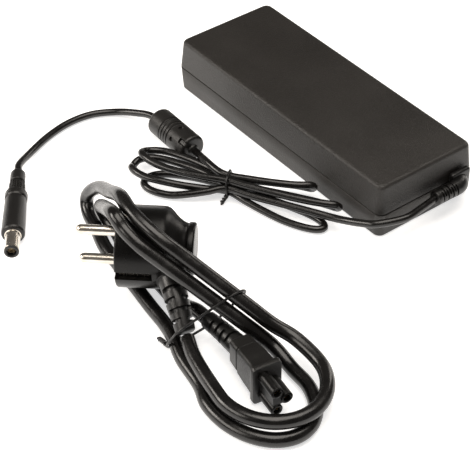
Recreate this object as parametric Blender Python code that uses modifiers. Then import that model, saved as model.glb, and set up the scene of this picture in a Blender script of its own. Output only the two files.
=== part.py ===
"""Laptop power adapter: a two-shell brick with its circuit board, a captive low-voltage lead and a mains lead.

Metres, +Z up. The origin is the middle of the brick's underside, +X is the brick's long side, towards the
low-voltage lead's boot, and the leads lie on the -Y side.
"""

import math

import bmesh
import bpy
import numpy as np
from mathutils import Matrix, Vector

MM = 0.001
GAP = 0.3 * MM

# The brick: outside size at the seam, where both shells are widest.
LENGTH = 162.0 * MM
WIDTH = 61.0 * MM
HEIGHT = 30.0 * MM
SEAM = 13.7 * MM
SEAM_GROOVE = 0.6 * MM
TOP_DRAFT = 1.4 * MM
BOTTOM_DRAFT = 0.8 * MM
WALL = 2.2 * MM
CORNER = 4.0 * MM
EDGE_ROUND = 2.2 * MM
LABEL = (78 * MM, 40 * MM, 0.3 * MM)

# The circuit board and what stands on it.
BOARD = (140 * MM, 52 * MM, 1.6 * MM)
BOARD_X = 3.0 * MM
BOARD_Z = 4.6 * MM
DECK = BOARD_Z + BOARD[2] + GAP

# The three-pole appliance inlet at the -X end.
INLET = (17 * MM, 22 * MM, 15.5 * MM)
INLET_Z = 13.2 * MM
POLE = 5.1 * MM
EARTH_POLE = 4.9 * MM
INLET_DEPTH = 12.0 * MM
LOBE = 3.2 * MM

# The low-voltage lead.
DC_CORD = 3.8 * MM
DC_EXIT_Y = 19.5 * MM
DC_EXIT_Z = 14.0 * MM
BOOT = 8.0 * MM
BOOT_X = LENGTH / 2 + 5.6 * MM
HANK = (0.3 * MM, 12.4 * MM)
TIE_WIRE = 1.2 * MM
FERRITE = (14.6 * MM, 31.0 * MM)
FERRITE_CENTRE = (-38.5 * MM, -63.4 * MM, 7.5 * MM)
FERRITE_YAW = math.radians(-1.5)
DC_PLUG_BACK = (-63.0 * MM, -142.8 * MM, 6.0 * MM)
DC_PLUG_YAW = math.radians(-35.0)
DC_PLUG_LENGTH = 48.0 * MM
BARREL = (7.4 * MM, 12.5 * MM)

# The mains lead.
MAINS_CORD = 6.8 * MM
PLUG_FACE = (33.6 * MM, -147.1 * MM, 26.4 * MM)
PLUG_YAW = math.radians(227.8)
PLUG_ROLL = math.radians(-6.0)
PLUG_RADIUS = 19.0 * MM
PIN = (4.8 * MM, 19.0 * MM)
PIN_SPACING = 19.0 * MM
CONNECTOR_FACE = (131.5 * MM, -138.6 * MM, 10.9 * MM)
CONNECTOR_YAW = math.radians(-9.0)
CONNECTOR = (24 * MM, 11.5 * MM, 17.5 * MM)
FLANGE = (3.2 * MM, 14.2 * MM, 21.0 * MM)
NOSE = 12.0 * MM

# The mains lead's two turns round the right, in millimetres: each bend's centre, radii and height.
UPPER_BEND = ((129, -136), (27, 24), 10.4)
LOWER_BEND = ((128, -141.5), (30, 21.5), 3.5)
PLUG_RELIEF = [(67, -141.6, 23.6), (74, -144.4, 20.6), (80.6, -146.6, 16.2), (86, -148.6, 12.4)]
MAINS_TIE_CENTRE = (87.5 * MM, -140 * MM, 15.5 * MM)
MAINS_TIE_AHEAD = (0.9, -0.05, -0.42)
TIE_REACH = 25 * MM

# The low-voltage lead's two straight stretches and the hank between them, in millimetres.
DC_TO_HANK = [
    (86.6, -0.3, 14), (88, -10, 14), (88.6, -21, 13.8), (83, -33, 12.8), (76, -37, 10.6), (63.4, -41.2, 7),
]
HANK_TO_PLUG = [
    (-18, -64.3, 8.1), (-23, -63.8, 7.5), (-28, -63.7, 7.5), (-38.5, -63.4, 7.5), (-49, -63.1, 7.5), (-60, -63.5, 7),
    (-69, -66.5, 5), (-79, -72.5, 2.6), (-86, -84, 2), (-87, -98, 2), (-83.5, -113, 2), (-76.5, -128, 2.8),
    (-69, -138.5, 5.5), (-63.6, -142.4, 6),
]
HANK_OUTLINE = [
    (62, -43), (59, -52), (46, -60), (29, -65), (13, -73), (-2, -90), (-14, -101), (-30, -103), (-40, -95),
    (-42, -84), (-33, -74), (-22, -71.9), (-16, -67), (-8, -62), (12, -54.5), (28, -39), (42, -33), (56, -31),
]
HANK_WAIST = (9.4 * MM, -66 * MM, 7.05 * MM)
HANK_YAW = math.radians(39.7)
HANK_WAIST_SIZE = (11.6 * MM, 10.4 * MM)

parts = None
cutters = None


def clear_scene():
    for obj in list(bpy.data.objects):
        bpy.data.objects.remove(obj, do_unlink=True)


def make_collections():
    global parts, cutters
    parts = bpy.data.collections.new("laptop_power_adapter")
    cutters = bpy.data.collections.new("cutters")
    for collection in (parts, cutters):
        bpy.context.scene.collection.children.link(collection)


def material(name, colour, roughness, metallic=0.0):
    made = bpy.data.materials.new(name)
    made.use_nodes = True
    shader = made.node_tree.nodes["Principled BSDF"]
    shader.inputs["Base Color"].default_value = (*colour, 1.0)
    shader.inputs["Roughness"].default_value = roughness
    shader.inputs["Metallic"].default_value = metallic
    return made


def new_object(name, data, paint, collection=None):
    obj = bpy.data.objects.new(name, data)
    (collection or parts).objects.link(obj)
    if paint:
        obj.data.materials.append(material(name, *paint))
    return obj


def mesh_object(name, shape, paint, collection=None):
    mesh = bpy.data.meshes.new(name)
    shape.to_mesh(mesh)
    shape.free()
    return new_object(name, mesh, paint, collection)


def placed(obj, location=(0, 0, 0), rotation=(0, 0, 0)):
    obj.location = location
    obj.rotation_euler = rotation
    return obj


def block(name, size, location, paint, round_by=0.0, rotation=(0, 0, 0), collection=None, segments=2):
    """A box about its own centre, with every edge rounded when round_by is set."""
    shape = bmesh.new()
    bmesh.ops.create_cube(shape, size=1.0)
    bmesh.ops.scale(shape, vec=size, verts=shape.verts)
    obj = placed(mesh_object(name, shape, paint, collection), location, rotation)
    if round_by:
        bevel = obj.modifiers.new("round", "BEVEL")
        bevel.width = round_by
        bevel.segments = segments
    return obj


def rod(name, radius, length, location, paint, rotation=(0, 0, 0), segments=24, round_by=0.0, collection=None):
    """A cylinder about its own centre, along its own Z."""
    shape = bmesh.new()
    bmesh.ops.create_cone(
        shape, cap_ends=True, segments=segments, radius1=radius, radius2=radius, depth=length
    )
    obj = placed(mesh_object(name, shape, paint, collection), location, rotation)
    if round_by:
        bevel = obj.modifiers.new("round", "BEVEL")
        bevel.width = round_by
        bevel.segments = 2
        bevel.limit_method = "ANGLE"
        bevel.angle_limit = math.radians(60)
    return obj


def turned(name, profile, paint, location=(0, 0, 0), rotation=(0, 0, 0), steps=32, closed=False):
    """A profile of (radius, height) points turned about Z: an open one runs down its outer side, and a closed
    one, which makes a ring, runs clockwise."""
    shape = bmesh.new()
    points = [shape.verts.new((radius, 0, height)) for radius, height in profile]
    for first, second in zip(points, points[1:]):
        shape.edges.new((first, second))
    if closed:
        shape.edges.new((points[-1], points[0]))
    obj = placed(mesh_object(name, shape, paint), location, rotation)
    screw = obj.modifiers.new("turn", "SCREW")
    screw.steps = steps
    screw.render_steps = steps
    screw.use_merge_vertices = True
    screw.merge_threshold = 0.00005
    return obj


def sleeve(name, radii, low, high, paint, location=(0, 0, 0), rotation=(0, 0, 0), steps=16):
    """A plain ring about Z between an inner and an outer radius."""
    inner, outer = radii
    profile = [(inner, high), (outer, high), (outer, low), (inner, low)]
    return turned(name, profile, paint, location, rotation, steps=steps, closed=True)


def smooth_route(points, spacing):
    """Points at an even spacing on the smooth curve through a route, in metres."""
    route = [Vector(point) * MM for point in points]
    ends = [route[0] * 2 - route[1], *route, route[-1] * 2 - route[-2]]
    fine = []
    for before, start, end, after in zip(ends, ends[1:], ends[2:], ends[3:]):
        for step in range(12):
            t = step / 12
            fine.append(
                0.5 * (2 * start + (end - before) * t
                       + (2 * before - 5 * start + 4 * end - after) * t ** 2
                       + (3 * start - 3 * end + after - before) * t ** 3)
            )
    fine.append(route[-1])
    travelled = [0.0]
    for first, second in zip(fine, fine[1:]):
        travelled.append(travelled[-1] + (second - first).length)
    count = max(2, round(travelled[-1] / spacing))
    even = []
    index = 0
    for step in range(count + 1):
        goal = travelled[-1] * step / count
        while index < len(fine) - 2 and travelled[index + 1] < goal:
            index += 1
        span = travelled[index + 1] - travelled[index]
        even.append(fine[index].lerp(fine[index + 1], (goal - travelled[index]) / span))
    return even


def tube(name, points, radius, paint, radii=None, cyclic=False):
    """A round tube along points in metres, with flat ends."""
    curve = bpy.data.curves.new(name, "CURVE")
    curve.dimensions = "3D"
    curve.bevel_depth = radius
    curve.bevel_resolution = 2
    curve.use_fill_caps = True
    spline = curve.splines.new("POLY")
    spline.points.add(len(points) - 1)
    spline.use_cyclic_u = cyclic
    for index, (target, point) in enumerate(zip(spline.points, points)):
        target.co = (*point, 1.0)
        target.radius = radii[index] if radii else 1.0
    return new_object(name, curve, paint)


def slab(name, outline, bottom, top, paint):
    """A flat outline of smooth points, in metres, standing from bottom to top."""
    curve = bpy.data.curves.new(name, "CURVE")
    curve.dimensions = "2D"
    curve.fill_mode = "BOTH"
    curve.extrude = (top - bottom) / 2
    spline = curve.splines.new("POLY")
    spline.points.add(len(outline) - 1)
    spline.use_cyclic_u = True
    for target, (x, y) in zip(spline.points, outline):
        target.co = (x, y, 0.0, 1.0)
    return placed(new_object(name, curve, paint), (0, 0, (bottom + top) / 2))


def as_mesh(obj):
    """The same object made a mesh, so that it can be joined or cut."""
    bpy.context.view_layer.update()
    mesh = bpy.data.meshes.new_from_object(obj)
    made = bpy.data.objects.new(obj.name + "_mesh", mesh)
    for collection in obj.users_collection:
        collection.objects.link(made)
    made.matrix_world = obj.matrix_world.copy()
    name = obj.name
    bpy.data.objects.remove(obj, do_unlink=True)
    made.name = name
    shape = bmesh.new()
    shape.from_mesh(mesh)
    bmesh.ops.remove_doubles(shape, verts=shape.verts, dist=0.00002)
    shape.to_mesh(mesh)
    shape.free()
    return made


def boolean(target, other, operation):
    for collection in list(other.users_collection):
        collection.objects.unlink(other)
    cutters.objects.link(other)
    other.hide_render = True
    other.display_type = "WIRE"
    modifier = target.modifiers.new(other.name, "BOOLEAN")
    modifier.operation = operation
    modifier.solver = "EXACT"
    modifier.object = other
    return target


def cut(target, *others):
    for other in others:
        boolean(target, other, "DIFFERENCE")
    return target


def join(target, *others):
    for other in others:
        boolean(target, other, "UNION")
    return target


def drafted_shape(name, low, high, bottom, top, corner, paint, round_top=0.0, collection=None):
    """A rounded box whose plan size goes from low at its bottom to high at its top."""
    shape = bmesh.new()
    bmesh.ops.create_cube(shape, size=1.0)
    for vert in shape.verts:
        upper = vert.co.z > 0
        size = high if upper else low
        vert.co = (vert.co.x * size[0], vert.co.y * size[1], top if upper else bottom)
    uprights = [edge for edge in shape.edges if abs(edge.verts[0].co.z - edge.verts[1].co.z) > 0.5 * (top - bottom)]
    bmesh.ops.bevel(shape, geom=uprights, offset=corner, segments=4, profile=0.5, affect="EDGES")
    if round_top:
        level = top if round_top > 0 else bottom
        rim = [edge for edge in shape.edges if all(abs(vert.co.z - level) < 1e-6 for vert in edge.verts)]
        bmesh.ops.bevel(shape, geom=rim, offset=abs(round_top), segments=3, profile=0.5, affect="EDGES")
    return mesh_object(name, shape, paint, collection)


def inside(size, by):
    return size[0] - 2 * by, size[1] - 2 * by


CASE = ((0.058, 0.055, 0.050), 0.55)
CASE_LOW = ((0.075, 0.072, 0.066), 0.55)
SEAM_SIZE = (LENGTH, WIDTH)


def inlet_hole(name):
    size = (INLET[0] * 2, INLET[1] + 2 * GAP, INLET[2] + 2 * GAP)
    return block(name, size, (-LENGTH / 2, 0, INLET_Z), None, collection=cutters)


def boot_hole(name):
    return rod(
        name, BOOT / 2 + GAP, 16 * MM, (LENGTH / 2, DC_EXIT_Y, DC_EXIT_Z), None,
        rotation=(0, math.radians(90), 0), collection=cutters,
    )


def top_cover():
    shell = drafted_shape(
        "top_cover", SEAM_SIZE, inside(SEAM_SIZE, TOP_DRAFT), SEAM + SEAM_GROOVE / 2, HEIGHT, CORNER, CASE,
        round_top=EDGE_ROUND,
    )
    hollow = drafted_shape(
        "top_hollow", inside(SEAM_SIZE, WALL), inside(SEAM_SIZE, WALL + TOP_DRAFT), SEAM - 1 * MM, HEIGHT - WALL,
        CORNER - WALL / 2, None, collection=cutters,
    )
    return cut(shell, hollow, inlet_hole("top_inlet_hole"), boot_hole("top_boot_hole"))


def bottom_cover():
    shell = drafted_shape(
        "bottom_cover", inside(SEAM_SIZE, BOTTOM_DRAFT), SEAM_SIZE, 0.0, SEAM - SEAM_GROOVE / 2, CORNER, CASE_LOW,
        round_top=-0.8 * MM,
    )
    hollow = drafted_shape(
        "bottom_hollow", inside(SEAM_SIZE, WALL + BOTTOM_DRAFT), inside(SEAM_SIZE, WALL), WALL, SEAM + 1 * MM,
        CORNER - WALL / 2, None, collection=cutters,
    )
    recess = block(
        "label_recess", (LABEL[0] + 2 * GAP, LABEL[1] + 2 * GAP, 1.4 * MM), (0, 0, 0), None, collection=cutters
    )
    return cut(shell, hollow, recess, inlet_hole("bottom_inlet_hole"), boot_hole("bottom_boot_hole"))


def rating_label():
    return block("rating_label", LABEL, (0, 0, 0.25 * MM), ((0.62, 0.62, 0.60), 0.4))


def pole_places():
    return {"line": (-POLE, 0.0), "neutral": (POLE, 0.0), "earth": (0.0, EARTH_POLE)}


def inlet():
    front = -LENGTH / 2 + 0.4 * MM
    centre = (front + INLET[0] / 2, 0, INLET_Z)
    housing = block("inlet_housing", INLET, centre, ((0.02, 0.02, 0.02), 0.5), round_by=0.5 * MM)
    depth = 2 * INLET_DEPTH
    low = INLET_Z - 1.6 * MM
    for pole, (y, z) in pole_places().items():
        lobe = rod(
            "lobe_" + pole, LOBE, depth, (front, y, low + z), None, rotation=(0, math.radians(90), 0),
            segments=20, collection=cutters,
        )
        cut(housing, lobe)
    bridge = block("lobe_bridge", (depth, 2 * POLE, 2 * LOBE), (front, 0, low), None, collection=cutters)
    neck = block("lobe_neck", (depth, 2 * LOBE, EARTH_POLE), (front, 0, low + EARTH_POLE / 2), None, collection=cutters)
    cut(housing, bridge, neck)
    brass = ((0.75, 0.72, 0.66), 0.3, 1.0)
    reach = 9.5 * MM
    for pole, (y, z) in pole_places().items():
        rod(
            "inlet_pin_" + pole, 1.2 * MM, reach, (front + INLET_DEPTH - reach / 2 - GAP, y, low + z), brass,
            rotation=(0, math.radians(90), 0), segments=12, round_by=0.3 * MM,
        )


def circuit_board():
    board = block("circuit_board", BOARD, (BOARD_X, 0, BOARD_Z + BOARD[2] / 2), ((0.05, 0.22, 0.08), 0.5))
    notch_x = -LENGTH / 2 + INLET[0] / 2
    notch = block(
        "board_notch", (INLET[0] + 3 * MM, INLET[1] + 2 * MM, 8 * MM), (notch_x, 0, BOARD_Z), None, collection=cutters
    )
    cut(board, notch)
    block("insulation_sheet", (146 * MM, 54 * MM, 0.4 * MM), (2 * MM, 0, 3.4 * MM), ((0.6, 0.6, 0.55), 0.6))
    block("heat_spreader", (136 * MM, 52 * MM, 0.8 * MM), (4 * MM, 0, 27.0 * MM), ((0.6, 0.6, 0.6), 0.35, 1.0))


def board_block(name, size, x, y, paint, round_by=0.4 * MM):
    return block(name, size, (x, y, DECK + size[2] / 2), paint, round_by=round_by)


def board_parts():
    black = ((0.02, 0.02, 0.02), 0.45)
    metal = ((0.62, 0.62, 0.63), 0.35, 1.0)
    copper = ((0.65, 0.28, 0.10), 0.35, 1.0)
    yellow = ((0.75, 0.58, 0.08), 0.5)
    along_x = (0, math.radians(90), 0)
    rod("fuse", 2.6 * MM, 20 * MM, (-48 * MM, -21 * MM, DECK + 2.6 * MM), ((0.7, 0.68, 0.6), 0.3), rotation=along_x)
    rod("thermistor", 5.5 * MM, 4 * MM, (-57 * MM, 20 * MM, DECK + 5.5 * MM), ((0.03, 0.12, 0.06), 0.5),
        rotation=along_x, round_by=0.6 * MM)
    board_block("x_capacitor", (18 * MM, 9 * MM, 15 * MM), -42 * MM, 20.5 * MM, yellow)
    core = bmesh.new()
    bmesh.ops.create_cone(core, cap_ends=True, segments=28, radius1=10 * MM, radius2=10 * MM, depth=9 * MM)
    choke = placed(mesh_object("common_mode_choke", core, copper), (-45 * MM, -6 * MM, DECK + 4.5 * MM))
    cut(choke, rod("choke_hole", 4 * MM, 20 * MM, tuple(choke.location), None, collection=cutters))
    rod("y_capacitor", 4 * MM, 3 * MM, (-30 * MM, -23 * MM, DECK + 4 * MM), ((0.1, 0.25, 0.5), 0.4),
        rotation=along_x, round_by=0.5 * MM)
    board_block("bridge_rectifier", (3.6 * MM, 15 * MM, 13 * MM), -30 * MM, -9 * MM, black)
    board_block("boost_choke", (22 * MM, 20 * MM, 19 * MM), -13 * MM, -13 * MM, yellow, round_by=1.5 * MM)
    rod("bulk_capacitor", 9 * MM, 36 * MM, (-12 * MM, 13.5 * MM, DECK + 9 * MM), ((0.03, 0.03, 0.05), 0.35),
        rotation=along_x, segments=28, round_by=1.0 * MM)
    board_block("primary_heatsink", (44 * MM, 1.6 * MM, 18 * MM), 18 * MM, 24.8 * MM, metal)
    board_block("primary_switch", (10 * MM, 4.4 * MM, 15 * MM), 30 * MM, 21.4 * MM, black)
    transformer()
    board_block("optocoupler", (6.4 * MM, 4.6 * MM, 3.5 * MM), 44 * MM, 20 * MM, black)
    board_block("secondary_heatsink", (44 * MM, 1.6 * MM, 18 * MM), 38 * MM, -24.8 * MM, metal)
    board_block("output_rectifier", (10 * MM, 4.4 * MM, 15 * MM), 46 * MM, -21.2 * MM, black)
    for index, y in enumerate((7.5, -5.5), start=1):
        rod(f"output_capacitor_{index}", 5 * MM, 19 * MM, (50 * MM, y * MM, DECK + 9.5 * MM),
            ((0.04, 0.16, 0.08), 0.35), round_by=0.6 * MM)


def transformer():
    x = 22 * MM
    core = block(
        "transformer_core", (30 * MM, 18 * MM, 19 * MM), (x, 0, DECK + 9.5 * MM), ((0.08, 0.08, 0.09), 0.6),
        round_by=0.5 * MM,
    )
    window = block("core_window", (24 * MM, 30 * MM, 12.6 * MM), tuple(core.location), None, collection=cutters)
    cut(core, window)
    block(
        "transformer_winding", (23.4 * MM, 27 * MM, 12 * MM), tuple(core.location), ((0.75, 0.58, 0.08), 0.5),
        round_by=2.5 * MM,
    )


def dc_boot():
    """The captive lead's boot: through the end wall, round an elbow, then along the end face."""
    corner = Vector((BOOT_X - 5 * MM, DC_EXIT_Y - 5 * MM, DC_EXIT_Z))
    route = [Vector((LENGTH / 2 - 7 * MM, DC_EXIT_Y, DC_EXIT_Z))]
    for step in range(7):
        angle = math.radians(90 - 15 * step)
        route.append(corner + Vector((math.cos(angle), math.sin(angle), 0)) * 5 * MM)
    route += [Vector((BOOT_X, 9 * MM, DC_EXIT_Z)), Vector((BOOT_X, 0.0, DC_EXIT_Z))]
    radii = [1.0] * 8 + [0.96, 0.86]
    boot = as_mesh(tube("dc_boot", route, BOOT / 2, ((0.016, 0.016, 0.016), 0.5), radii))
    collar = block(
        "boot_collar", (3.2 * MM, 12 * MM, 11.5 * MM),
        (LENGTH / 2 + 1.9 * MM, DC_EXIT_Y, DC_EXIT_Z), None, round_by=1.0 * MM, collection=cutters,
    )
    return join(boot, collar)


def dc_cords():
    rubber = ((0.012, 0.012, 0.012), 0.35)
    tube("dc_cord_to_hank", smooth_route(DC_TO_HANK, 3 * DC_CORD), DC_CORD / 2, rubber)
    tube("dc_cord_to_plug", smooth_route(HANK_TO_PLUG, 3 * DC_CORD), DC_CORD / 2, rubber)
    closed = [(x, y, 0) for x, y in [*HANK_OUTLINE, HANK_OUTLINE[0]]]
    outline = [(point.x, point.y) for point in smooth_route(closed, 6 * MM)[:-1]]
    hank = as_mesh(slab("dc_cord_hank", outline, *HANK, rubber))
    groove = block(
        "tie_groove", (TIE_WIRE + 4 * GAP, 40 * MM, 30 * MM), HANK_WAIST, None, rotation=(0, 0, HANK_YAW),
        collection=cutters,
    )
    core = block(
        "tie_core", (4 * TIE_WIRE, *HANK_WAIST_SIZE), HANK_WAIST, None, round_by=2.0 * MM,
        rotation=(0, 0, HANK_YAW), collection=cutters,
    )
    cut(hank, cut(groove, core))
    tie_ring("dc_cord_tie")


def tie_ring(name):
    """A wire ring round the hank's waist: its shape across the hank is a rounded rectangle."""
    half_width, half_height = (size / 2 + TIE_WIRE / 2 + GAP for size in HANK_WAIST_SIZE)
    bend = 2.6 * MM
    across = Vector((-math.sin(HANK_YAW), math.cos(HANK_YAW), 0))
    points = []
    for quarter in range(4):
        side = ((1, 1), (-1, 1), (-1, -1), (1, -1))[quarter]
        for step in range(4):
            angle = math.radians(90 * quarter + 30 * step)
            sideways = side[0] * (half_width - bend) + bend * math.cos(angle)
            upwards = side[1] * (half_height - bend) + bend * math.sin(angle)
            points.append(Vector(HANK_WAIST) + across * sideways + Vector((0, 0, upwards)))
    return tube(name, points, TIE_WIRE / 2, ((0.01, 0.01, 0.01), 0.4), cyclic=True)


def ferrite():
    radius, length = FERRITE[0] / 2, FERRITE[1]
    bore = DC_CORD / 2 + 2 * GAP
    core = (11.0 * MM / 2, 25.0 * MM)
    lie = (0, math.radians(90), FERRITE_YAW)
    profile = [
        (bore, length / 2), (radius - 1.6 * MM, length / 2), (radius - 0.5 * MM, length / 2 - 0.5 * MM),
        (radius, length / 2 - 1.8 * MM), (radius, -length / 2 + 1.8 * MM),
        (radius - 0.5 * MM, -length / 2 + 0.5 * MM), (radius - 1.6 * MM, -length / 2), (bore, -length / 2),
        (bore, -core[1] / 2 - GAP), (core[0] + GAP, -core[1] / 2 - GAP), (core[0] + GAP, core[1] / 2 + GAP),
        (bore, core[1] / 2 + GAP),
    ]
    turned("ferrite_sleeve", profile, ((0.02, 0.02, 0.02), 0.5), FERRITE_CENTRE, lie, closed=True)
    sleeve(
        "ferrite_core", (bore, core[0]), -core[1] / 2, core[1] / 2, ((0.06, 0.06, 0.065), 0.6), FERRITE_CENTRE, lie,
        steps=32,
    )


def dc_plug():
    """The barrel plug: an overmoulded housing, a hollow metal barrel, its tip insulator and a centre contact."""
    lie = (0, math.radians(90), DC_PLUG_YAW)
    ahead = Vector((math.cos(DC_PLUG_YAW), math.sin(DC_PLUG_YAW), 0))
    back = Vector(DC_PLUG_BACK)
    housing = [
        (0.0, 0.0), (2.6 * MM, 0.0), (3.7 * MM, 1.4 * MM), (3.8 * MM, 8.0 * MM), (3.9 * MM, 9.0 * MM),
        (4.5 * MM, 17.0 * MM), (5.5 * MM, 17.6 * MM), (5.6 * MM, 22.0 * MM), (5.2 * MM, 23.0 * MM),
        (5.7 * MM, DC_PLUG_LENGTH - 1.0 * MM), (5.0 * MM, DC_PLUG_LENGTH), (0.0, DC_PLUG_LENGTH),
    ]
    turned("dc_plug_housing", housing[::-1], ((0.02, 0.02, 0.02), 0.5), back, lie)
    start = back + ahead * (DC_PLUG_LENGTH + GAP)
    outer, length = BARREL[0] / 2, BARREL[1]
    inner = 2.9 * MM
    cup = [(0.0, 1.0 * MM), (inner, 1.0 * MM), (inner, length - 1.2 * MM), (outer, length - 1.2 * MM), (outer, 0.0),
           (0.0, 0.0)]
    turned("dc_plug_barrel", cup, ((0.72, 0.71, 0.69), 0.2, 1.0), start, lie)
    sleeve(
        "dc_plug_tip_ring", (inner - 0.5 * MM, outer - 0.1 * MM), length - 1.2 * MM + GAP, length,
        ((0.01, 0.01, 0.01), 0.5), start, lie, steps=32,
    )
    rod("dc_plug_centre_pin", 0.5 * MM, 8.5 * MM, start + ahead * (5.6 * MM + GAP), ((0.8, 0.7, 0.4), 0.25, 1.0),
        rotation=lie, segments=10)


def plug_frame():
    """The mains plug's frame: its Z points out along the pins, its Y up the line of the pins."""
    pins_out = Vector((math.cos(PLUG_YAW), math.sin(PLUG_YAW), 0))
    up = Matrix.Rotation(PLUG_ROLL, 3, pins_out) @ Vector((0, 0, 1))
    side = up.cross(pins_out)
    turn = Matrix((side, up, pins_out)).transposed()
    return Matrix.Translation(PLUG_FACE) @ turn.to_4x4()


def in_plug(frame, obj, offset, rotation=(0, 0, 0)):
    local = Matrix.Translation(offset)
    for axis, angle in zip("XYZ", rotation):
        local = local @ Matrix.Rotation(angle, 4, axis)
    obj.matrix_world = frame @ local
    return obj


def mains_plug():
    frame = plug_frame()
    rubber = ((0.014, 0.014, 0.014), 0.45)
    metal = ((0.78, 0.74, 0.68), 0.25, 1.0)
    half = PLUG_RADIUS
    outline = [
        (0.0, 0.0), (half - 1.0 * MM, 0.0), (half, -1.0 * MM), (half, -20.0 * MM), (half - 1.6 * MM, -23.5 * MM),
        (half - 4.6 * MM, -26.5 * MM), (half - 6.8 * MM, -29.5 * MM), (12.0 * MM, -31.5 * MM),
        (12.0 * MM, -34.0 * MM), (11.0 * MM, -35.0 * MM), (0.0, -35.0 * MM),
    ]
    body = in_plug(frame, turned("mains_plug_body", outline, rubber, steps=40), (0, 0, 0))
    neck = rod("plug_neck", 6.6 * MM, 17.0 * MM, (0, 0, 0), None, collection=cutters)
    in_plug(frame, neck, (8.5 * MM, 0, -26 * MM), (0, math.radians(90), 0))
    join(body, neck)
    for name, sign in (("near", 1), ("far", -1)):
        slot = block("earth_slot_" + name, (6.4 * MM, 4.8 * MM, 34 * MM), (0, 0, 0), None, collection=cutters)
        in_plug(frame, slot, (sign * (half - 1.4 * MM), 0, 0))
        cut(body, slot)
        clip = block("earth_clip_" + name, (0.8 * MM, 3.8 * MM, 14.6 * MM), (0, 0, 0), metal, round_by=0.2 * MM)
        in_plug(frame, clip, (sign * (half - 3.0 * MM), 0, -9.0 * MM))
    socket_hole = rod("earth_socket_hole", 2.9 * MM, 30 * MM, (0, 0, 0), None, segments=20, collection=cutters)
    in_plug(frame, socket_hole, (10 * MM, 0, 0))
    cut(body, socket_hole)
    contact = sleeve("earth_socket_sleeve", (2.1 * MM, 2.6 * MM), -14 * MM, -1 * MM, metal, steps=20)
    in_plug(frame, contact, (10 * MM, 0, 0))
    for name, sign in (("upper", 1), ("lower", -1)):
        radius, length = PIN[0] / 2, PIN[1]
        shank = [(0.0, length), (radius * 0.55, length - 0.25 * MM), (radius, length - 1.6 * MM),
                 (radius, GAP), (0.0, GAP)]
        pin = turned("mains_plug_pin_" + name, shank, metal, steps=20)
        in_plug(frame, pin, (0, sign * PIN_SPACING / 2, 0))
    relief = smooth_route(PLUG_RELIEF, 6 * MM)
    taper = [1.0 - 0.22 * index / (len(relief) - 1) for index in range(len(relief))]
    tube("mains_plug_relief", relief, 6.0 * MM, rubber, taper)


def connector():
    """The cloverleaf connector at the mains lead's other end, standing on its narrow side."""
    rubber = ((0.016, 0.016, 0.016), 0.5)
    frame = Matrix.Translation(CONNECTOR_FACE) @ Matrix.Rotation(CONNECTOR_YAW, 4, "Z")

    def put(obj, offset, rotation=(0, 0, 0)):
        return in_plug(frame, obj, offset, rotation)

    body = put(block("connector_body", FLANGE, (0, 0, 0), rubber, round_by=0.8 * MM), (-FLANGE[0] / 2, 0, 0))
    barrel = put(
        block("connector_barrel", CONNECTOR, (0, 0, 0), None, round_by=1.6 * MM, collection=cutters),
        (-CONNECTOR[0] / 2 - 1 * MM, 0, 0),
    )
    join(body, barrel)
    low = -2.0 * MM
    depth = NOSE + 2 * MM
    places = {"line": (low, -POLE), "neutral": (low, POLE), "earth": (low + EARTH_POLE, 0.0)}
    lie = (0, math.radians(90), 0)
    for pole, (y, z) in places.items():
        lobe = rod("nose_" + pole, 2.9 * MM, depth, (0, 0, 0), None, segments=20, collection=cutters)
        join(body, put(lobe, (depth / 2 - 2 * MM, y, z), lie))
    web = block("nose_web", (depth, 3.6 * MM, 2 * POLE), (0, 0, 0), None, collection=cutters)
    join(body, put(web, (depth / 2 - 2 * MM, low, 0)))
    web = block("nose_earth_web", (depth, EARTH_POLE, 3.6 * MM), (0, 0, 0), None, collection=cutters)
    join(body, put(web, (depth / 2 - 2 * MM, low + EARTH_POLE / 2, 0)))
    for pole, (y, z) in places.items():
        hole = rod("hole_" + pole, 1.7 * MM, 2 * 10.5 * MM, (0, 0, 0), None, segments=16, collection=cutters)
        cut(body, put(hole, (NOSE, y, z), lie))
        brass = ((0.72, 0.66, 0.5), 0.3, 1.0)
        contact = sleeve("connector_contact_" + pole, (0.95 * MM, 1.35 * MM), -9.6 * MM, -1.5 * MM, brass, steps=12)
        put(contact, (NOSE, y, z), lie)
    back = frame @ Vector((-CONNECTOR[0] - 1 * MM - GAP, 0, 0))
    end = Vector((84.2 * MM, -135.0 * MM, 10.8 * MM))
    ahead = (frame @ Vector((0, 0, 0)) - back).normalized()
    route = [end, end.lerp(back, 0.35) + Vector((0, 0.4 * MM, 0)), back - ahead * 5 * MM, back]
    tube("connector_relief", route, 5.0 * MM, rubber, [0.84, 0.9, 0.98, 1.0])


def bend(centre, radii, height, start, end, count):
    """Points round a level bend seen from above, between two angles in degrees."""
    angles = [math.radians(start + (end - start) * step / (count - 1)) for step in range(count)]
    return [(centre[0] + radii[0] * math.cos(a), centre[1] + radii[1] * math.sin(a), height) for a in angles]


def straight(start, end, count):
    """Evenly spaced points on a straight stretch, both ends included."""
    return [tuple(a + (b - a) * step / (count - 1) for a, b in zip(start, end)) for step in range(count)]


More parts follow.
